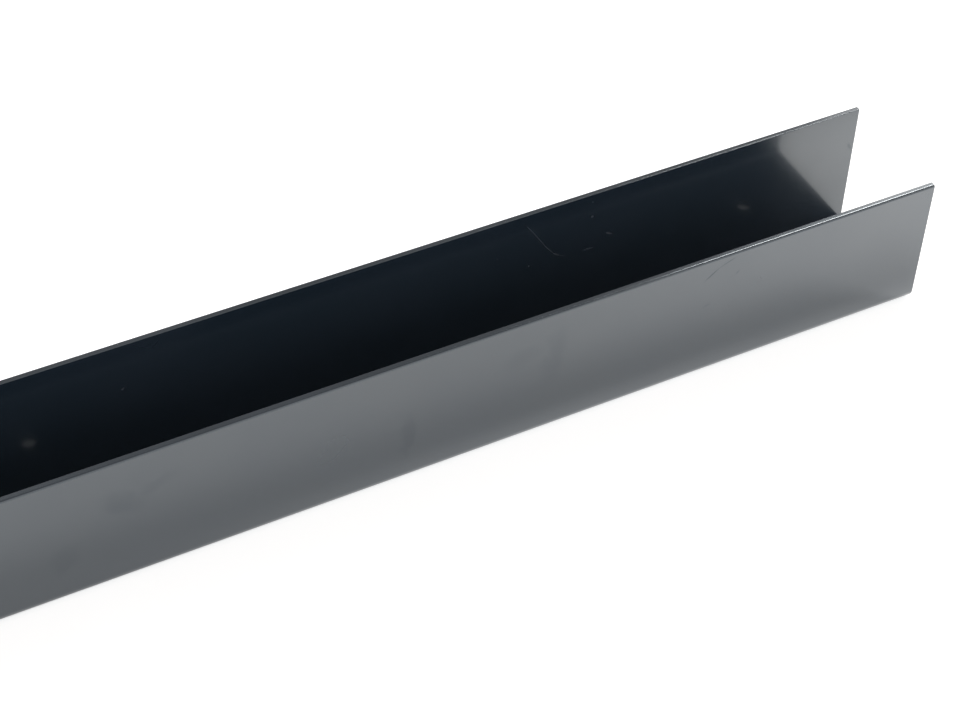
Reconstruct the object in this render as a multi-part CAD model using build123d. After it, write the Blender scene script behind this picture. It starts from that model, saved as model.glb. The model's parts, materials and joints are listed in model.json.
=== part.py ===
from build123d import *
import math
import os

# A metal channel section: one strip of steel sheet folded to a U, with a dark gloss coat.
# It lies on its web with the groove upwards, as it does in the photograph.
# Sizes are millimetres. +X runs along the stock, +Y across it and +Z up out of the groove.
# The origin is on the web's underside, halfway along and halfway across.

# The length that the stock is sold in
stock_length = 1000.0

# The sheet and its two folds
sheet_thickness = 1.5
inside_width = 30.5
flange_height = 37.0
inside_bend_radius = 1.5

# The sheared edges are a little rounded under the coat. The shear drew the outside of the
# sheet over, so the outer top edges are rounder than the rest.
edge_radius = 0.2
outer_top_radius = 0.6

# Screw holes in one row along the middle of the web
hole_diameter = 3.5
hole_count = 6
hole_end_distance = 20.0
hole_rim_bevel = 0.2

# Worked out from the sizes above
hole_pitch = (stock_length - 2 * hole_end_distance) / (hole_count - 1)

# Rounding and bevels have to leave some of the sheet between its two sides
widest_rounding = 0.45 * sheet_thickness


def folded_sheet_outline():
    """The cut end of the stock: the line inside the groove, thickened outwards by the sheet."""
    half = inside_width / 2
    groove_line = FilletPolyline(
        (-half, flange_height),
        (-half, sheet_thickness),
        (half, sheet_thickness),
        (half, flange_height),
        radius=inside_bend_radius,
    )
    strip_edge = groove_line.wire().offset_2d(sheet_thickness, kind=Kind.ARC, side=Side.RIGHT)
    return Face(strip_edge)


def folded_strip():
    """The whole length of folded sheet, before any hole or rounding."""
    middle = Plane.YZ * folded_sheet_outline()
    return extrude(middle, amount=stock_length / 2, both=True)


def flange_top_edges(strip):
    """The four long edges of the flange tops: the near outer one, the two inner, the far outer."""
    flange_tops = strip.faces().filter_by(Axis.Z).group_by(Axis.Z)[-1]
    return flange_tops.edges().filter_by(Axis.X).sort_by(Axis.Y)


def rounded_strip(strip):
    """Takes the sharpness off the sheared edges: the outer top ones, then all the others."""
    near_outer, _, _, far_outer = flange_top_edges(strip)
    strip = fillet([near_outer, far_outer], min(outer_top_radius, widest_rounding))
    _, near_inner, far_inner, _ = flange_top_edges(strip)
    cut_ends = strip.faces().filter_by(Axis.X)
    return fillet(cut_ends.edges() + [near_inner, far_inner], min(edge_radius, widest_rounding))


def hole_places():
    """How far along the stock each screw hole lies, from one end distance to the other."""
    first = -stock_length / 2 + hole_end_distance
    return [first + n * hole_pitch for n in range(hole_count)]


def screw_hole(place):
    """The plug that cuts one hole through the web."""
    return Pos(place, 0, sheet_thickness / 2) * Cylinder(hole_diameter / 2, 2 * sheet_thickness)


def hole_rims(strip):
    """The two circles of each hole, on the web's underside and in the groove."""
    circles = strip.edges().filter_by(GeomType.CIRCLE)
    return circles.filter_by(lambda edge: math.isclose(edge.radius, hole_diameter / 2))


def channel_section():
    """The finished channel: folded, drilled, and with its sharp edges taken off."""
    strip = rounded_strip(folded_strip())
    for place in hole_places():
        strip -= screw_hole(place)
    return chamfer(hole_rims(strip), min(hole_rim_bevel, widest_rounding))


os.makedirs("parts", exist_ok=True)
export_step(channel_section(), "parts/channel_section.step")
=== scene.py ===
import json
import math

import bmesh
import bpy
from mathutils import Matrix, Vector


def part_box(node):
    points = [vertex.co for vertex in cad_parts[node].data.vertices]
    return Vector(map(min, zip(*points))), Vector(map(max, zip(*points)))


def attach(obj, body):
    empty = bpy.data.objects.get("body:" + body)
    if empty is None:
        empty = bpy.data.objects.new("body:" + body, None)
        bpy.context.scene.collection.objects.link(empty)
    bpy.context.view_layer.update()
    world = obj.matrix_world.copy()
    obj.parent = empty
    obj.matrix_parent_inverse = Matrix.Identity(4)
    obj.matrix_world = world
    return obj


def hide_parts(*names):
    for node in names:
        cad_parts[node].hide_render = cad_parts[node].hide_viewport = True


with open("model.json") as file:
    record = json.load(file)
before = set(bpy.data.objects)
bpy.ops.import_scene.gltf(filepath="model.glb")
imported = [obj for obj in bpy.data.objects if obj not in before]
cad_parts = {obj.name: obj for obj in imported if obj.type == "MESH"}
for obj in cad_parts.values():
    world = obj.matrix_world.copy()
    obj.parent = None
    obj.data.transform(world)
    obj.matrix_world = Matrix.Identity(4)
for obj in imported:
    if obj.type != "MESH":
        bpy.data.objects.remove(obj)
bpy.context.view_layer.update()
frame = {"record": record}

bl_info = {
    "name": "Channel section",
    "version": (1, 0, 0),
    "blender": (4, 5, 0),
    "location": "View3D > Sidebar > Channel",
    "description": "A folded steel channel with a dark gloss coat, and a pale stage to show it on",
    "category": "Add Mesh",
}

# Lengths are metres. +X runs along the stock, +Y across it and +Z up out of the groove. The
# origin is on the web's underside, halfway along and halfway across.
MILLIMETRE = 0.001

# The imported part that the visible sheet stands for
NODE = "channel_section"
BODY = "root"
LOW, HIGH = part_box(NODE)
MOUNTS = {mount["name"]: mount for mount in frame["record"]["mounts"]}
GROOVE_FLOOR = MOUNTS["groove_floor"]["pos_m"][2]
HOLE_PAIRS = [mount["dims"] for mount in MOUNTS.values() if mount["kind"] == "bolt_pattern"]

# Mesh faces across half the square round a hole, from there to a fold, up a flange, and round
# the sheared edges, the outer top edges and the inner top edges
BLOCK_STEPS = 4
WEB_STEPS = 3
FLANGE_STEPS = 8
EDGE_STEPS = 4
OUTER_STEPS = 8
INNER_STEPS = 6

# The band of mesh round a hole's rim, and the distance at which two vertices become one
RIM_CLEARANCE = 2.0 * MILLIMETRE
MERGE_DISTANCE = 0.001 * MILLIMETRE

# Half the floor's side, its drop below the part, and how far the folds reach over it
FLOOR_HALF_SIDE = 8.0
FLOOR_DROP = 0.02 * MILLIMETRE
BEND_OVERHANG = 3.0 * MILLIMETRE

# The width of the camera's sensor, and the nearest that it sees
SENSOR_WIDTH_MM = 36.0
NEAREST_SIGHT = 0.01


class ChannelSheetSizes(bpy.types.PropertyGroup):
    """Sizes of the folded sheet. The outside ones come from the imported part."""

    length: bpy.props.FloatProperty(
        name="Length",
        description="Length of the stock",
        default=HIGH.x - LOW.x,
        min=0.05,
        subtype="DISTANCE",
        unit="LENGTH",
    )
    outside_width: bpy.props.FloatProperty(
        name="Outside width",
        description="Width across the two flanges",
        default=HIGH.y - LOW.y,
        min=0.01,
        subtype="DISTANCE",
        unit="LENGTH",
    )
    flange_height: bpy.props.FloatProperty(
        name="Flange height",
        description="Height of the flanges over the floor",
        default=HIGH.z - LOW.z,
        min=0.01,
        subtype="DISTANCE",
        unit="LENGTH",
    )
    thickness: bpy.props.FloatProperty(
        name="Sheet thickness",
        description="Thickness of the steel sheet under its coat",
        default=GROOVE_FLOOR - LOW.z,
        min=0.0005,
        subtype="DISTANCE",
        unit="LENGTH",
    )
    inside_bend_radius: bpy.props.FloatProperty(
        name="Inside bend radius",
        description="Radius of the folds on the groove side",
        default=1.5 * MILLIMETRE,
        min=0.0002,
        subtype="DISTANCE",
        unit="LENGTH",
    )
    edge_radius: bpy.props.FloatProperty(
        name="Edge radius",
        description="Rounding of the sheared edges and of the hole rims",
        default=0.2 * MILLIMETRE,
        min=0.00001,
        subtype="DISTANCE",
        unit="LENGTH",
    )
    outer_top_radius: bpy.props.FloatProperty(
        name="Outer top radius",
        description="Rounding of the flanges' outer top edges, where the shear drew the sheet over",
        default=0.6 * MILLIMETRE,
        min=0.00001,
        subtype="DISTANCE",
        unit="LENGTH",
    )
    inner_top_radius: bpy.props.FloatProperty(
        name="Inner top radius",
        description="Rounding that the coat gives the inner top edges of the flanges",
        default=0.15 * MILLIMETRE,
        min=0.00001,
        subtype="DISTANCE",
        unit="LENGTH",
    )
    hole_radius: bpy.props.FloatProperty(
        name="Hole radius",
        description="Radius of the screw holes in the web",
        default=HOLE_PAIRS[0]["hole_r_mm"] * MILLIMETRE,
        min=0.0005,
        subtype="DISTANCE",
        unit="LENGTH",
    )
    cell: bpy.props.FloatProperty(
        name="Mesh cell",
        description="Longest side of a mesh face along the stock",
        default=10 * MILLIMETRE,
        min=0.001,
        subtype="DISTANCE",
        unit="LENGTH",
    )
    bend_steps: bpy.props.IntProperty(
        name="Bend steps",
        description="Mesh faces round each fold",
        default=16,
        min=4,
    )


class ChannelCoatLook(bpy.types.PropertyGroup):
    """Colours and finish of the dark gloss coat."""

    colour: bpy.props.FloatVectorProperty(
        name="Coat colour",
        description="Colour of the coat under its gloss",
        default=(0.0125, 0.0215, 0.033),
        size=3,
        min=0.0,
        max=1.0,
        subtype="COLOR",
    )
    cloudy_colour: bpy.props.FloatVectorProperty(
        name="Cloudy colour",
        description="Colour of the coat where it lies a little thicker",
        default=(0.0165, 0.0255, 0.0385),
        size=3,
        min=0.0,
        max=1.0,
        subtype="COLOR",
    )
    dust_colour: bpy.props.FloatVectorProperty(
        name="Dust colour",
        description="Colour of the dust specks and scuffs",
        default=(0.22, 0.23, 0.25),
        size=3,
        min=0.0,
        max=1.0,
        subtype="COLOR",
    )
    gloss_tint: bpy.props.FloatVectorProperty(
        name="Gloss tint",
        description="Tint of what the coat mirrors",
        default=(0.85, 0.95, 1.0),
        size=3,
        min=0.0,
        max=1.0,
        subtype="COLOR",
    )
    haze_roughness: bpy.props.FloatProperty(
        name="Haze roughness",
        description="Roughness of the soft haze under the gloss",
        default=0.24,
        min=0.0,
        max=1.0,
        subtype="FACTOR",
    )
    haze_index: bpy.props.FloatProperty(
        name="Haze index",
        description="Index of refraction of the haze",
        default=1.75,
        min=1.0,
        max=4.0,
    )
    gloss_roughness: bpy.props.FloatProperty(
        name="Gloss roughness",
        description="Roughness of the sharp gloss on top",
        default=0.09,
        min=0.0,
        max=1.0,
        subtype="FACTOR",
    )
    gloss_index: bpy.props.FloatProperty(
        name="Gloss index",
        description="Index of refraction of the sharp gloss",
        default=1.6,
        min=1.0,
        max=4.0,
    )
    uneven_gloss: bpy.props.FloatProperty(
        name="Uneven gloss",
        description="How much the haze roughness changes over the surface",
        default=0.07,
        min=0.0,
        max=0.5,
        subtype="FACTOR",
    )
    cloud_dulling: bpy.props.FloatProperty(
        name="Cloud dulling",
        description="How much of the gloss the cloudy patches take away",
        default=0.1,
        min=0.0,
        max=1.0,
        subtype="FACTOR",
    )
    cloud_size: bpy.props.FloatProperty(
        name="Cloud size",
        description="Size of the cloudy patches of the coat",
        default=28 * MILLIMETRE,
        min=0.001,
        subtype="DISTANCE",
        unit="LENGTH",
    )
    peel_size: bpy.props.FloatProperty(
        name="Peel size",
        description="Size of the fine ripples in the sprayed coat",
        default=1.3 * MILLIMETRE,
        min=0.0001,
        subtype="DISTANCE",
        unit="LENGTH",
    )
    peel_depth: bpy.props.FloatProperty(
        name="Peel depth",
        description="Depth of the fine ripples in the sprayed coat",
        default=0.0008 * MILLIMETRE,
        min=0.0,
        subtype="DISTANCE",
        unit="LENGTH",
        precision=6,
    )
    wave_size: bpy.props.FloatProperty(
        name="Wave size",
        description="Size of the slight waves that rolling leaves in the sheet",
        default=32 * MILLIMETRE,
        min=0.001,
        subtype="DISTANCE",
        unit="LENGTH",
    )
    wave_depth: bpy.props.FloatProperty(
        name="Wave depth",
        description="Depth of the slight waves in the sheet",
        default=0.012 * MILLIMETRE,
        min=0.0,
        subtype="DISTANCE",
        unit="LENGTH",
        precision=6,
    )
    dust_spacing: bpy.props.FloatProperty(
        name="Dust spacing",
        description="Size of the cell that may hold one dust speck",
        default=5 * MILLIMETRE,
        min=0.0005,
        subtype="DISTANCE",
        unit="LENGTH",
    )
    dust_width: bpy.props.FloatProperty(
        name="Dust width",
        description="Width of the largest dust specks",
        default=0.3 * MILLIMETRE,
        min=0.00001,
        subtype="DISTANCE",
        unit="LENGTH",
    )
    dust_share: bpy.props.FloatProperty(
        name="Dust share",
        description="Share of the cells that hold a dust speck",
        default=0.4,
        min=0.0,
        max=1.0,
        subtype="FACTOR",
    )
    dust_film: bpy.props.FloatProperty(
        name="Dust film",
        description="How much of the gloss the dust on the groove's floor takes away",
        default=0.8,
        min=0.0,
        max=1.0,
        subtype="FACTOR",
    )
    film_roughness: bpy.props.FloatProperty(
        name="Film roughness",
        description="How much rougher the haze is under the dust on the groove's floor",
        default=0.4,
        min=0.0,
        max=1.0,
        subtype="FACTOR",
    )


class ChannelStageLook(bpy.types.PropertyGroup):
    """The pale floor with the painted light and shade that a gloss sees on it, the light and the
    camera.
    """

    floor_colour: bpy.props.FloatVectorProperty(
        name="Floor colour",
        description="Colour of the plain floor",
        default=(0.88, 0.88, 0.88),
        size=3,
        min=0.0,
        max=1.0,
        subtype="COLOR",
    )
    floor_glow: bpy.props.FloatProperty(
        name="Floor glow",
        description="White added to the floor where the camera sees it",
        default=0.655,
        min=0.0,
        max=1.0,
        subtype="FACTOR",
    )
    mirror_glow: bpy.props.FloatProperty(
        name="Mirrored floor glow",
        description="White added to the floor where a gloss mirrors it",
        default=0.33,
        min=0.0,
        max=1.0,
        subtype="FACTOR",
    )
    # Painted light: more white on the floor past the right end, which only a gloss sees
    painted_end_light: bpy.props.FloatProperty(
        name="Glow past the end",
        description="More white on the mirrored floor past the part's right end",
        default=0.45,
        min=0.0,
        max=1.0,
        subtype="FACTOR",
    )
    painted_light_past_end: bpy.props.FloatVectorProperty(
        name="Bright end",
        description="Where along X the glow past the end starts, and where it is full",
        default=(HIGH.x - 0.12, HIGH.x + 0.06),
        size=2,
        unit="LENGTH",
    )
    # Painted shade: the painted light past the end is weaker on the floor close in front of the
    # near flange
    foot_shade_reach: bpy.props.FloatProperty(
        name="Foot shade reach",
        description="How far in front of the stock the floor has less of the end glow",
        default=28 * MILLIMETRE,
        min=0.0,
        subtype="DISTANCE",
        unit="LENGTH",
    )
    # Painted light: more white on the floor along the near flange's foot, which only a gloss sees
    painted_foot_light: bpy.props.FloatProperty(
        name="Foot glow",
        description="How much more white the gloss sees on the floor along the near foot",
        default=0.34,
        min=0.0,
        max=1.0,
        subtype="FACTOR",
    )
    painted_foot_light_reach: bpy.props.FloatProperty(
        name="Foot glow reach",
        description="How far in front of the stock the foot glow reaches",
        default=8 * MILLIMETRE,
        min=0.0,
        subtype="DISTANCE",
        unit="LENGTH",
    )
    painted_light_along_foot: bpy.props.FloatVectorProperty(
        name="Bright foot",
        description="Where along X the foot glow starts, and where it is full",
        default=(0.27, 0.42),
        size=2,
        unit="LENGTH",
    )
    sky_colour: bpy.props.FloatVectorProperty(
        name="Surround colour",
        description="Colour of the light from low down and from the front",
        default=(1.05, 1.05, 1.05),
        size=3,
        min=0.0,
        soft_max=2.0,
        subtype="COLOR",
    )
    grey_colour: bpy.props.FloatVectorProperty(
        name="Overhead colour",
        description="Colour of the light from overhead and behind",
        default=(0.29, 0.26, 0.235),
        size=3,
        min=0.0,
        soft_max=2.0,
        subtype="COLOR",
    )
    grey_direction: bpy.props.FloatVectorProperty(
        name="Overhead direction",
        description="Middle of the grey part of the surround",
        default=(0.0, 0.34, 0.94),
        size=3,
        subtype="DIRECTION",
    )
    grey_edge: bpy.props.FloatVectorProperty(
        name="Overhead edge",
        description="Cosines of the angles from its middle at which the grey starts and is full",
        default=(0.25, 0.72),
        size=2,
        min=-1.0,
        max=1.0,
    )
    key_place: bpy.props.FloatVectorProperty(
        name="Key light place",
        description="Where the key light stands, high past the part's right end",
        default=(1.055, 0.404, 0.937),
        size=3,
        subtype="TRANSLATION",
        unit="LENGTH",
    )
    key_width: bpy.props.FloatProperty(
        name="Key light width",
        description="Width of the round key light",
        default=0.35,
        min=0.01,
        subtype="DISTANCE",
        unit="LENGTH",
    )
    key_power: bpy.props.FloatProperty(
        name="Key light power",
        description="Power of the key light",
        default=4.5,
        min=0.0,
        subtype="POWER",
        unit="POWER",
    )
    side_place: bpy.props.FloatVectorProperty(
        name="Side light place",
        description="Where the weaker light beside the key light stands",
        default=(1.29, 0.60, 0.675),
        size=3,
        subtype="TRANSLATION",
        unit="LENGTH",
    )
    side_width: bpy.props.FloatProperty(
        name="Side light width",
        description="Width of the round side light",
        default=0.56,
        min=0.01,
        subtype="DISTANCE",
        unit="LENGTH",
    )
    side_power: bpy.props.FloatProperty(
        name="Side light power",
        description="Power of the side light",
        default=1.4,
        min=0.0,
        subtype="POWER",
        unit="POWER",
    )
    back_place: bpy.props.FloatVectorProperty(
        name="Back light place",
        description="Where the light behind the part stands, which draws its shadow to the front",
        default=(-0.155, 0.715, 0.988),
        size=3,
        subtype="TRANSLATION",
        unit="LENGTH",
    )
    back_width: bpy.props.FloatProperty(
        name="Back light width",
        description="Width of the round back light",
        default=0.8,
        min=0.01,
        subtype="DISTANCE",
        unit="LENGTH",
    )
    back_power: bpy.props.FloatProperty(
        name="Back light power",
        description="Power of the back light",
        default=7.8,
        min=0.0,
        subtype="POWER",
        unit="POWER",
    )
    lens: bpy.props.FloatProperty(
        name="Lens",
        description="Focal length on a 36 mm wide sensor, in millimetres",
        default=72.21,
        min=10.0,
        subtype="DISTANCE_CAMERA",
    )
    camera_place: bpy.props.FloatVectorProperty(
        name="Camera place",
        description="Where the camera stands",
        default=(0.25320, -0.28304, 0.33235),
        size=3,
        subtype="TRANSLATION",
        unit="LENGTH",
    )
    camera_aim: bpy.props.FloatVectorProperty(
        name="Camera aim",
        description="The point that the camera looks at",
        default=(0.38688, -0.00430, 0.01803),
        size=3,
        subtype="TRANSLATION",
        unit="LENGTH",
    )


# The section of the sheet, as places and outward normals across the stock


class Outline:
    """A run of places in the section, each with its outward normal."""

    def __init__(self):
        self.points = []

    def arc(self, centre, radius, start, end, steps, hollow=False):
        """Adds a circular arc; a hollow one has its normals towards the centre."""
        for step in range(steps + 1):
            angle = math.radians(start + (end - start) * step / steps)
            out = Vector((math.cos(angle), math.sin(angle)))
            self.points.append((centre + radius * out, -out if hollow else out))

    def line(self, lines):
        """Adds the places between the arcs before and after a flat stretch."""
        normal = self.points[-1][1]
        for place in lines:
            self.points.append((Vector(place), normal))


def web_lines(sizes):
    """Distances from the middle of the web at which lengthwise mesh lines run."""
    block = hole_block(sizes)
    fine = [block * step / BLOCK_STEPS for step in range(-BLOCK_STEPS, BLOCK_STEPS + 1)]
    flat = sizes.outside_width / 2 - sizes.thickness - sizes.inside_bend_radius
    coarse = [block + (flat - block) * step / WEB_STEPS for step in range(1, WEB_STEPS)]
    return [-y for y in reversed(coarse)] + fine + coarse


def hole_block(sizes):
    """Half the side of the square of mesh round each hole."""
    return sizes.hole_radius + sizes.edge_radius + RIM_CLEARANCE


def section_sides(sizes):
    """The outside, top edge, groove side and other top edge of the section, as point lists."""
    half = sizes.outside_width / 2
    top = sizes.flange_height
    outer = sizes.outer_top_radius
    inner_top = sizes.inner_top_radius
    inner = half - sizes.thickness
    inside_radius = sizes.inside_bend_radius
    outside_radius = inside_radius + sizes.thickness
    near_centre = Vector((outside_radius - half, outside_radius))
    far_centre = Vector((half - outside_radius, outside_radius))
    lines = web_lines(sizes)
    rises = [
        outside_radius + (top - outer - outside_radius) * step / FLANGE_STEPS
        for step in range(1, FLANGE_STEPS)
    ]

    outside = Outline()
    outside.points.append((Vector((-half, top - outer)), Vector((-1, 0))))
    outside.line([(-half, z) for z in reversed(rises)])
    outside.arc(near_centre, outside_radius, 180, 270, sizes.bend_steps)
    outside.line([(y, 0) for y in lines])
    outside.arc(far_centre, outside_radius, 270, 360, sizes.bend_steps)
    outside.line([(half, z) for z in rises])
    outside.points.append((Vector((half, top - outer)), Vector((1, 0))))

    groove = Outline()
    groove.points.append((Vector((inner, top - inner_top)), Vector((-1, 0))))
    groove.line([(inner, z) for z in reversed(rises)])
    groove.arc(far_centre, inside_radius, 0, -90, sizes.bend_steps, hollow=True)
    groove.line([(y, sizes.thickness) for y in reversed(lines)])
    groove.arc(near_centre, inside_radius, 270, 180, sizes.bend_steps, hollow=True)
    groove.line([(-inner, z) for z in rises])
    groove.points.append((Vector((-inner, top - inner_top)), Vector((1, 0))))

    far_top = Outline()
    far_top.arc(Vector((half - outer, top - outer)), outer, 0, 90, OUTER_STEPS)
    far_top.arc(Vector((inner + inner_top, top - inner_top)), inner_top, 90, 180, INNER_STEPS)
    near_top = Outline()
    near_top.arc(Vector((-inner - inner_top, top - inner_top)), inner_top, 0, 90, INNER_STEPS)
    near_top.arc(Vector((-half + outer, top - outer)), outer, 90, 180, OUTER_STEPS)
    return outside.points, far_top.points[1:-1], groove.points, near_top.points[1:-1]


def hole_places():
    """Distances along the stock at which the screw holes lie, from left to right."""
    spacings = [pair["spacing_x_mm"] * MILLIMETRE for pair in HOLE_PAIRS]
    return sorted(side * spacing / 2 for spacing in spacings for side in (-1, 1))


def stations(sizes, holes):
    """Distances along the stock at which the section is repeated, between the end roundings."""
    block = hole_block(sizes)
    end = sizes.length / 2 - sizes.edge_radius
    stops = [-end]
    for hole in holes:
        stops += [hole - block, hole + block]
    stops.append(end)
    found = []
    for index, (start, stop) in enumerate(zip(stops, stops[1:])):
        on_block = index % 2 == 1
        steps = 2 * BLOCK_STEPS if on_block else max(1, math.ceil((stop - start) / sizes.cell))
        found += [start + (stop - start) * step / steps for step in range(steps)]
    return found + [end]


class SheetMesh:
    """A mesh in the making that keeps each vertex's true normal."""

    def __init__(self):
        self.mesh = bmesh.new()
        self.normals = self.mesh.verts.layers.float_vector.new("true_normal")

    def vertex(self, place, normal):
        """One vertex with its true normal."""
        made = self.mesh.verts.new(place)
        made[self.normals] = normal
        return made

    def ring(self, x, points, offset=0.0, lean=0.0):
        """One section at x, drawn in by offset, its normals leaning towards the end by lean."""
        across = math.sqrt(1 - lean * lean)
        made = []
        for place, normal in points:
            inset = place - offset * normal
            true = (lean, across * normal.x, across * normal.y)
            made.append(self.vertex((x, inset.x, inset.y), true))
        return made

    def face(self, corners):
        """One face between vertices, in order round it."""
        self.mesh.faces.new(corners)


def build_sheet(sizes):
    """The whole sheet as a mesh: its long sides, rounded ends and rimmed holes."""
    sides = section_sides(sizes)
    points = [point for side in sides for point in side]
    outside_count = len(sides[0])
    groove_start = outside_count + len(sides[1])
    holes = hole_places()
    places = stations(sizes, holes)
    sheet = SheetMesh()
    body = [sheet.ring(x, points) for x in places]
    left = end_rings(sheet, sizes, points, -1)
    right = end_rings(sheet, sizes, points, 1)
    rings = left[::-1] + body + right

    # The squares round the holes stay open here, on the outside and on the groove side
    block_rows = [len(left) + block_station(sizes, places, hole) for hole in holes]
    open_rows = {row + step for row in block_rows for step in range(2 * BLOCK_STEPS)}
    web_outside = FLANGE_STEPS + sizes.bend_steps + WEB_STEPS
    web_groove = groove_start + web_outside
    for row, (ring, after) in enumerate(zip(rings, rings[1:])):
        for column in range(len(points)):
            if row in open_rows and in_block(column, (web_outside, web_groove)):
                continue
            beside = (column + 1) % len(points)
            sheet.face([ring[column], ring[beside], after[beside], after[column]])

    for ring in (rings[0], rings[-1]):
        close_end(sheet, ring, outside_count, groove_start)

    for hole, row in zip(holes, block_rows):
        bottom = block_border(rings, row, web_outside, 1)
        top = block_border(rings, row, web_groove + 2 * BLOCK_STEPS, -1)
        pierce(sheet, sizes, hole, bottom, top)
    return sheet


def end_rings(sheet, sizes, points, side):
    """The rings of one end's rounding, from the body outwards."""
    end = sizes.length / 2 - sizes.edge_radius
    made = []
    for step in range(1, EDGE_STEPS + 1):
        angle = math.pi / 2 * step / EDGE_STEPS
        x = side * (end + sizes.edge_radius * math.sin(angle))
        offset = sizes.edge_radius * (1 - math.cos(angle))
        made.append(sheet.ring(x, points, offset, side * math.sin(angle)))
    return made


def block_station(sizes, places, hole):
    """The index in places of the station at which the square round this hole starts."""
    wanted = hole - hole_block(sizes)
    return min(range(len(places)), key=lambda i: abs(places[i] - wanted))


def in_block(column, columns):
    """Whether a column of faces crosses the squares round the holes, which start at columns."""
    return any(start <= column < start + 2 * BLOCK_STEPS for start in columns)


def close_end(sheet, ring, outside_count, groove_start):
    """Fills the sheet's cut end between the outside, the groove side and the two tops."""
    groove_end = groove_start + outside_count - 1
    for index in range(outside_count - 1):
        back = groove_end - index
        sheet.face([ring[index], ring[index + 1], ring[back - 1], ring[back]])
    sheet.face(ring[outside_count - 1:groove_start + 1])
    sheet.face(ring[groove_end:] + ring[:1])


def block_border(rings, row, column, way):
    """The vertices round one square, from the middle of its right side, seen from above."""
    half = BLOCK_STEPS

    def at(along, across):
        return rings[row + half + along][column + way * (half + across)]

    border = [at(half, across) for across in range(half)]
    border += [at(along, half) for along in range(half, -half, -1)]
    border += [at(-half, across) for across in range(half, -half, -1)]
    border += [at(along, -half) for along in range(-half, half)]
    return border + [at(half, across) for across in range(-half, 0)]


def pierce(sheet, sizes, hole, bottom, top):
    """Cuts one hole through the web, with rounded rims, between two borders."""
    edge = sizes.edge_radius
    rim = sizes.hole_radius + edge
    relaxed = rim + RIM_CLEARANCE / 2
    profile = [(relaxed, sizes.thickness, 0.0, 1.0)]
    for step in range(EDGE_STEPS + 1):
        angle = math.pi / 2 * step / EDGE_STEPS
        profile.append((
            rim - edge * math.sin(angle),
            sizes.thickness - edge * (1 - math.cos(angle)),
            -math.sin(angle),
            math.cos(angle),
        ))
    profile += [
        (radius, sizes.thickness - z, inward, -up) for radius, z, inward, up in reversed(profile)
    ]
    count = len(top)
    loops = [top]
    for radius, z, inward, up in profile:
        loop = []
        for index in range(count):
            angle = math.tau * index / count
            out = Vector((math.cos(angle), math.sin(angle)))
            place = (hole + radius * out.x, radius * out.y, z)
            loop.append(sheet.vertex(place, (inward * out.x, inward * out.y, up)))
        loops.append(loop)
    loops.append(bottom)
    for upper, lower in zip(loops, loops[1:]):
        for index in range(count):
            after = (index + 1) % count
            sheet.face([upper[index], upper[after], lower[after], lower[index]])


def finished_piece(name, sheet):
    """Turns the mesh in the making into an object that rides on the part's body."""
    loose = [vertex for vertex in sheet.mesh.verts if not vertex.link_faces]
    bmesh.ops.delete(sheet.mesh, geom=loose, context="VERTS")
    bmesh.ops.remove_doubles(sheet.mesh, verts=sheet.mesh.verts, dist=MERGE_DISTANCE)
    bmesh.ops.recalc_face_normals(sheet.mesh, faces=sheet.mesh.faces)
    normals = [vertex[sheet.normals].copy() for vertex in sheet.mesh.verts]
    sheet.mesh.verts.layers.float_vector.remove(sheet.normals)
    data = bpy.data.meshes.new(name)
    sheet.mesh.to_mesh(data)
    sheet.mesh.free()
    data.shade_smooth()
    data.normals_split_custom_set_from_vertices(normals)
    piece = bpy.data.objects.new(name, data)
    bpy.context.scene.collection.objects.link(piece)
    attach(piece, BODY)
    return piece


# Shader maths


class Field:
    """One output of a shader node. Arithmetic on fields adds Math nodes to their tree."""

    def __init__(self, tree, socket):
        self.tree = tree
        self.socket = socket

    def math(self, operation, *values, clamp=False):
        """A Math node on numbers."""
        settings = {"operation": operation, "use_clamp": clamp}
        return make_node(self.tree, "ShaderNodeMath", settings, dict(enumerate(values)))

    def __add__(self, other):
        return self.math("ADD", self, other)

    def __radd__(self, other):
        return self.math("ADD", other, self)

    def __sub__(self, other):
        return self.math("SUBTRACT", self, other)

    def __rsub__(self, other):
        return self.math("SUBTRACT", other, self)

    def __mul__(self, other):
        return self.math("MULTIPLY", self, other)

    def __rmul__(self, other):
        return self.math("MULTIPLY", other, self)

    def clamped(self):
        """The same number, held between 0 and 1."""
        return self.math("ADD", self, 0.0, clamp=True)

    def largest(self, other):
        """The larger of this number and another."""
        return self.math("MAXIMUM", self, other)

    def absolute(self):
        """The same number without its sign."""
        return self.math("ABSOLUTE", self)

    def beside(self, output):
        """Another output of the same node."""
        return Field(self.tree, self.socket.node.outputs[output])

    def vector(self, operation, *others, output="Vector"):
        """A Vector Math node on this vector and others."""
        settings = {"operation": operation}
        sockets = dict(enumerate((self, *others)))
        return make_node(self.tree, "ShaderNodeVectorMath", settings, sockets, output)

    def length(self):
        """The length of a vector."""
        return self.vector("LENGTH", output="Value")

    def along(self, direction):
        """How far a vector reaches along a direction of length 1."""
        return self.vector("DOT_PRODUCT", direction, output="Value")

    def part(self, axis):
        """One number of a vector."""
        return make_node(self.tree, "ShaderNodeSeparateXYZ", {}, {0: self}, axis)

    def smooth(self, start, end, most=1.0):
        """0 up to start and most from end on, with a smooth change between."""
        settings = {"interpolation_type": "SMOOTHSTEP"}
        sockets = {"Value": self, "From Min": start, "From Max": end, "To Max": most}
        return make_node(self.tree, "ShaderNodeMapRange", settings, sockets)


def make_node(tree, kind, settings=None, sockets=None, output=0):
    """Makes a node of any kind, with its settings, then its sockets' values or links."""
    node = tree.nodes.new(kind)
    for name, value in (settings or {}).items():
        setattr(node, name, value)
    for name, value in (sockets or {}).items():
        put(tree, node.inputs[name], value)
    return Field(tree, node.outputs[output])


def put(tree, socket, value):
    """Links a field to a socket, or sets the socket to a plain value."""
    if isinstance(value, Field):
        tree.links.new(value.socket, socket)
    else:
        socket.default_value = value


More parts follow.
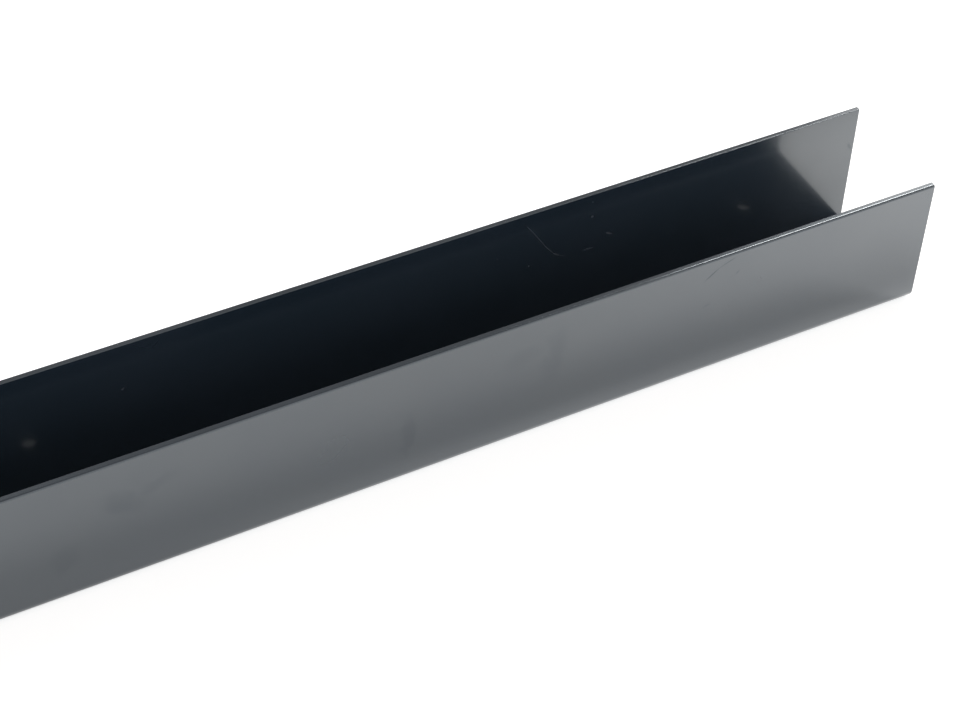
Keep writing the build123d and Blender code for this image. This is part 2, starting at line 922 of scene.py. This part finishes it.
def mixed(mask, first, second):
    """The first colour where the mask is 0, and the second where it is 1."""
    colours = [value if isinstance(value, Field) else (*value, 1.0) for value in (first, second)]
    # A Mix node has sockets of its own for colours
    first_colour, second_colour, result = 6, 7, 2
    sockets = {"Factor": mask, first_colour: colours[0], second_colour: colours[1]}
    return make_node(mask.tree, "ShaderNodeMix", {"data_type": "RGBA"}, sockets, result)


# Marks on the far flange's groove side and on the near flange's outside. Each has its place
# along the stock, height, length and width in millimetres, its tilt in degrees, and its
# strength. A light mark is dust or a scuff, and a dull one takes some of the gloss away.
LIGHT_GROOVE_MARKS = (
    (411.2, 29.2, 17.5, 0.36, -58, 0.22),
    (414.4, 24.1, 9.0, 0.36, -54, 0.26),
    (416.4, 21.7, 3.6, 0.55, -38, 0.34),
    (418.0, 20.7, 4.0, 0.45, -25, 0.16),
    (425.8, 30.1, 0.95, 0.90, 0, 0.36),
    (409.1, 20.8, 0.75, 0.75, 0, 0.30),
    (430.6, 23.0, 2.8, 0.80, -34, 0.36),
    (425.1, 20.1, 5.0, 0.70, -4, 0.16),
    (400.8, 26.3, 0.60, 0.60, 0, 0.20),
    (425.7, 34.7, 0.55, 0.55, 0, 0.16),
    (308.8, 24.1, 1.15, 0.60, 40, 0.36),
)
DULL_GROOVE_MARKS = ((498.6, 25.8, 3.4, 1.2, -60, 0.4),)
LIGHT_FRONT_MARKS = (
    (453.1, 26.4, 1.1, 0.9, 0, 0.12),
    (426.9, 8.7, 0.50, 0.45, 0, 0.2),
    (440.3, 8.8, 0.90, 0.5, 60, 0.2),
)
DULL_FRONT_MARKS = (
    (439.5, 32.65, 6.0, 0.5, 38, 1.0),
    (443.7, 35.0, 6.5, 0.36, 22, 0.8),
    (446.5, 30.7, 1.8, 0.45, 49, 0.7),
    (439.0, 23.2, 2.6, 0.36, 17, 0.7),
)
# Faint dull smudges, which have ragged edges
FRONT_SMUDGES = (
    (297.6, 25.0, 13.0, 9.0, -35, 0.22),
    (306.0, 27.0, 14.0, 6.0, 20, 0.14),
    (284.0, 13.0, 12.0, 8.0, 40, 0.14),
    (363.3, 14.0, 18.0, 4.5, 84, 0.22),
    (399.5, 24.0, 22.0, 8.0, 76, 0.16),
    (391.0, 27.0, 12.0, 8.0, 10, 0.14),
)

# How deep a mark reaches into the sheet in millimetres, the share of its size at full strength,
# and the roughness that a light one adds
MARK_DEPTH_MM = 0.3
MARK_CORE = 0.25
MARK_ROUGHNESS = 0.3

# The size of the lumps that a smudge's edge is ragged by, and how far it strays
SMUDGE_GRAIN = 6.0 * MILLIMETRE
SMUDGE_RAGGED = 7.0 * MILLIMETRE

# How light a speck of dust is, how soft its edge is, how soon a cell that may hold one holds it
# in full, how much of it clings to upright faces, and how far a face looks up to hold it all
SPECK_STRENGTH = 0.3
SPECK_EDGE = 0.5
CHANCE_STEP = 0.02
UPRIGHT_SHARE = 0.5
SPECK_SLOPES = (0.1, 0.9)

# How far a face looks up where the groove's film of dust starts and is full, and the heights
# from which it thins out and at which it ends
FILM_SLOPES = (0.0, 0.3)
FILM_FULL = 3.0 * MILLIMETRE
FILM_TOP = 8.0 * MILLIMETRE

# Detail of the noise in clouds and smudges, in ripples and in waves, the weight of the finer
# detail, and the noise at which a cloud starts and is full
CLOUD_DETAIL = 3.0
RIPPLE_DETAIL = 1.0
WAVE_DETAIL = 0.0
NOISE_ROUGHNESS = 0.5
CLOUD_RANGE = (0.3, 0.7)


def mark_mask(place, across, marks):
    """How much of a surface point the marks take up, on the face that lies at across."""
    mask = None
    for along, height, length, width, tilt, strength in marks:
        inside = make_node(
            place.tree,
            "ShaderNodeMapping",
            {"vector_type": "TEXTURE"},
            {
                "Vector": place,
                "Location": Vector((along, across / MILLIMETRE, height)) * MILLIMETRE,
                "Rotation": (0.0, -math.radians(tilt), 0.0),
                "Scale": Vector((length / 2, MARK_DEPTH_MM, width / 2)) * MILLIMETRE,
            },
        )
        mark = inside.length().smooth(1.0, MARK_CORE, strength)
        mask = mask.largest(mark) if mask else mark
    return mask


def upward(tree):
    """How far a surface faces up, from -1 to 1."""
    return make_node(tree, "ShaderNodeNewGeometry", output="Normal").part("Z")


def dust_mask(place, look):
    """Small specks of dust, most of them on what faces up."""
    cells = make_node(
        place.tree,
        "ShaderNodeTexVoronoi",
        {"feature": "F1"},
        {"Vector": place, "Scale": 1 / look.dust_spacing, "Randomness": 1.0},
        output="Distance",
    )
    chance = cells.beside("Color").part("X")
    largest = look.dust_width / look.dust_spacing
    radius = cells.beside("Color").part("Y") * (largest / 2)
    speck = (radius - cells).smooth(0.0, SPECK_EDGE * largest)
    empty = 1 - look.dust_share
    held = chance.smooth(empty, empty + CHANCE_STEP)
    flat = upward(place.tree).smooth(*SPECK_SLOPES)
    return speck * held * (flat * (1 - UPRIGHT_SHARE) + UPRIGHT_SHARE) * SPECK_STRENGTH


def groove_film(place):
    """The film of dust that settles on the groove's floor and in its folds."""
    return upward(place.tree).smooth(*FILM_SLOPES) * place.part("Z").smooth(FILM_TOP, FILM_FULL)


def ragged(place):
    """The same place, moved about a little, so that what is drawn there has ragged edges."""
    push = noise(place, SMUDGE_GRAIN, CLOUD_DETAIL).beside("Color")
    centred = push.vector("SUBTRACT", (0.5, 0.5, 0.5))
    over_the_face = (SMUDGE_RAGGED, 0.0, SMUDGE_RAGGED)
    return place.vector("ADD", centred.vector("MULTIPLY", over_the_face))


def noise(place, size, detail):
    """Soft noise between 0 and 1, with lumps of a real size."""
    sockets = {
        "Vector": place,
        "Scale": 1 / size,
        "Detail": detail,
        "Roughness": NOISE_ROUGHNESS,
    }
    return make_node(place.tree, "ShaderNodeTexNoise", {}, sockets)


def coat_material(look, sizes):
    """The dark gloss coat, a little cloudy and rippled, with its dust, scuffs and scratches."""
    material = bpy.data.materials.new("gloss_coat")
    material.use_nodes = True
    tree = material.node_tree
    place = make_node(tree, "ShaderNodeTexCoord", output="Object")
    front = -sizes.outside_width / 2
    groove = sizes.outside_width / 2 - sizes.thickness
    film = groove_film(place)

    # What lies on the coat and lightens it, and what takes its gloss away
    light = mark_mask(place, groove, LIGHT_GROOVE_MARKS)
    light = light.largest(mark_mask(place, front, LIGHT_FRONT_MARKS))
    light = light.largest(dust_mask(place, look))
    dull = mark_mask(place, groove, DULL_GROOVE_MARKS)
    dull = dull.largest(mark_mask(place, front, DULL_FRONT_MARKS))
    dull = dull.largest(mark_mask(ragged(place), front, FRONT_SMUDGES))
    dull = dull.largest(film * look.dust_film)

    cloud = noise(place, look.cloud_size, CLOUD_DETAIL).smooth(*CLOUD_RANGE)
    clean = mixed(cloud, look.colour, look.cloudy_colour)
    colour = mixed(light, clean, look.dust_colour)
    roughness = look.haze_roughness + (cloud - 0.5) * look.uneven_gloss
    roughness = roughness + light * MARK_ROUGHNESS + film * look.film_roughness
    coat = 1 - (light + dull + cloud * look.cloud_dulling)
    ripple = noise(place, look.peel_size, RIPPLE_DETAIL) * look.peel_depth
    wave = noise(place, look.wave_size, WAVE_DETAIL) * look.wave_depth
    bump = make_node(tree, "ShaderNodeBump", {}, {"Height": ripple + wave, "Distance": 1.0})

    shader = tree.nodes["Principled BSDF"]
    for socket, value in {
        "Base Color": colour,
        "Roughness": roughness.clamped(),
        "Coat Weight": coat.clamped(),
        "Normal": bump,
        "IOR": look.haze_index,
        "Specular Tint": (*look.gloss_tint, 1.0),
        "Coat Roughness": look.gloss_roughness,
        "Coat IOR": look.gloss_index,
    }.items():
        put(tree, shader.inputs[socket], value)
    return material


class CHANNEL_OT_folded_sheet(bpy.types.Operator):
    """Make the folded sheet with its rounded edges, bends and screw holes"""

    bl_idname = "channel.folded_sheet"
    bl_label = "Folded sheet"

    def execute(self, context):
        scene = context.scene
        piece = finished_piece("folded_sheet", build_sheet(scene.channel_sizes))
        piece.data.materials.append(coat_material(scene.channel_coat, scene.channel_sizes))
        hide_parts(NODE)
        return {"FINISHED"}


def stage_floor(look):
    """A wide plain floor under the part, which keeps the part's shadow."""
    mesh = bmesh.new()
    bmesh.ops.create_grid(mesh, x_segments=1, y_segments=1, size=FLOOR_HALF_SIDE)
    data = bpy.data.meshes.new("floor")
    mesh.to_mesh(data)
    mesh.free()
    floor = bpy.data.objects.new("floor", data)
    floor.location = (0, 0, LOW.z - FLOOR_DROP)
    bpy.context.scene.collection.objects.link(floor)
    floor.data.materials.append(floor_material(look))


def floor_material(look):
    """Plain pale paint that glows where the camera or a gloss sees it, but not under the part. What
    a gloss sees also carries painted light and painted shade.
    """
    material = bpy.data.materials.new("floor")
    material.use_nodes = True
    tree = material.node_tree
    tree.nodes.remove(tree.nodes["Principled BSDF"])
    paint = make_node(tree, "ShaderNodeBsdfDiffuse", {}, {"Color": (*look.floor_colour, 1.0)})
    glow = make_node(tree, "ShaderNodeEmission", {}, {"Color": added_white(tree, look)})
    both = make_node(tree, "ShaderNodeAddShader", {}, {0: paint, 1: glow})
    put(tree, tree.nodes["Material Output"].inputs["Surface"], both)
    return material


def added_white(tree, look):
    """The white that the floor adds where the camera or a gloss sees it, with painted light and
    shade in what a gloss sees.
    """
    camera = make_node(tree, "ShaderNodeLightPath", output="Is Camera Ray")
    mirrored = camera.beside("Is Glossy Ray").largest(camera.beside("Is Transmission Ray"))
    place = make_node(tree, "ShaderNodeNewGeometry", output="Position")
    along, across = place.part("X"), place.part("Y")
    # Where the floor comes out from under the folds, as distances from the middle
    from_under = (HIGH.y - BEND_OVERHANG, HIGH.y - BEND_OVERHANG / 2)

    # A gloss sees painted light past the right end, but painted shade takes some of it away close
    # in front of the near flange, and more painted light lies along the narrow strip at its foot
    in_front = 0 - across
    clear = in_front.smooth(*from_under)
    shaded = clear * in_front.smooth(HIGH.y + look.foot_shade_reach, HIGH.y)
    lit = clear * in_front.smooth(HIGH.y + look.painted_foot_light_reach, HIGH.y + MILLIMETRE)
    painted_light_past_end = along.smooth(*look.painted_light_past_end) * (1 - shaded)
    painted_light_along_foot = along.smooth(*look.painted_light_along_foot) * lit
    bright = painted_light_past_end * look.painted_end_light + painted_light_along_foot * look.painted_foot_light
    seen = camera * look.floor_glow + mirrored * (look.mirror_glow + bright)

    beside = across.absolute().smooth(*from_under)
    beyond = along.absolute().smooth(HIGH.x - MILLIMETRE, HIGH.x)
    return seen * beside.largest(beyond)


def soft_sky(look):
    """A pale surround that is white low down and in front, and grey overhead and behind."""
    world = bpy.data.worlds.new("soft_light")
    world.use_nodes = True
    tree = world.node_tree
    direction = make_node(tree, "ShaderNodeTexCoord", output="Generated")
    towards_grey = direction.along(Vector(look.grey_direction).normalized())
    grey = towards_grey.smooth(*look.grey_edge)
    sky = mixed(grey, look.sky_colour, look.grey_colour)
    put(tree, tree.nodes["Background"].inputs["Color"], sky)
    bpy.context.scene.world = world


def soft_light(name, place, aim, width, power):
    """A round soft lamp at place, turned to aim, that the camera doesn't see."""
    lamp = bpy.data.lights.new(name, "AREA")
    lamp.shape = "DISK"
    lamp.size = width
    lamp.energy = power
    holder = bpy.data.objects.new(name, lamp)
    holder.location = place
    holder.rotation_euler = (Vector(aim) - Vector(place)).to_track_quat("-Z", "Y").to_euler()
    holder.visible_camera = False
    bpy.context.scene.collection.objects.link(holder)


def photo_camera(look):
    """The camera at the photograph's angle."""
    camera = bpy.data.cameras.new("camera")
    camera.lens = look.lens
    camera.sensor_width = SENSOR_WIDTH_MM
    camera.clip_start = NEAREST_SIGHT
    holder = bpy.data.objects.new("camera", camera)
    holder.location = look.camera_place
    sight = Vector(look.camera_aim) - Vector(look.camera_place)
    holder.rotation_euler = sight.to_track_quat("-Z", "Y").to_euler()
    bpy.context.scene.collection.objects.link(holder)
    bpy.context.scene.camera = holder


class CHANNEL_OT_stage(bpy.types.Operator):
    """Set up the pale floor, the soft light and the camera"""

    bl_idname = "channel.stage"
    bl_label = "Stage"

    def execute(self, context):
        look = context.scene.channel_stage
        stage_floor(look)
        soft_sky(look)
        right_end = (HIGH.x, 0, 0)
        soft_light("key_light", look.key_place, right_end, look.key_width, look.key_power)
        soft_light("side_light", look.side_place, right_end, look.side_width, look.side_power)
        middle = look.camera_aim
        soft_light("back_light", look.back_place, middle, look.back_width, look.back_power)
        photo_camera(look)
        context.scene.view_settings.view_transform = "Standard"
        return {"FINISHED"}


class CHANNEL_PT_sidebar(bpy.types.Panel):
    """Lists the channel's pieces, its finish and its stage"""

    bl_label = "Channel section"
    bl_idname = "CHANNEL_PT_sidebar"
    bl_space_type = "VIEW_3D"
    bl_region_type = "UI"
    bl_category = "Channel"

    def draw(self, context):
        for operator, groups in OPERATORS.items():
            box = self.layout.box()
            for group in groups:
                settings = getattr(context.scene, group)
                for name in settings.__annotations__:
                    box.prop(settings, name)
            box.operator(operator)


# The groups of settings on the scene, and those that each operator works from
GROUPS = {
    "channel_sizes": ChannelSheetSizes,
    "channel_coat": ChannelCoatLook,
    "channel_stage": ChannelStageLook,
}
OPERATORS = {
    "channel.folded_sheet": ("channel_sizes", "channel_coat"),
    "channel.stage": ("channel_stage",),
}
CLASSES = (*GROUPS.values(), CHANNEL_OT_folded_sheet, CHANNEL_OT_stage, CHANNEL_PT_sidebar)


def register():
    """Makes the classes known to Blender and hangs the settings on the scene."""
    for made in CLASSES:
        bpy.utils.register_class(made)
    for name, group in GROUPS.items():
        setattr(bpy.types.Scene, name, bpy.props.PointerProperty(type=group))


def unregister():
    """Takes the settings and the classes away again."""
    for name in GROUPS:
        delattr(bpy.types.Scene, name)
    for made in reversed(CLASSES):
        bpy.utils.unregister_class(made)


def main():
    """Makes the sheet and the stage."""
    register()
    bpy.ops.channel.folded_sheet()
    bpy.ops.channel.stage()


if __name__ == "__main__":
    main()
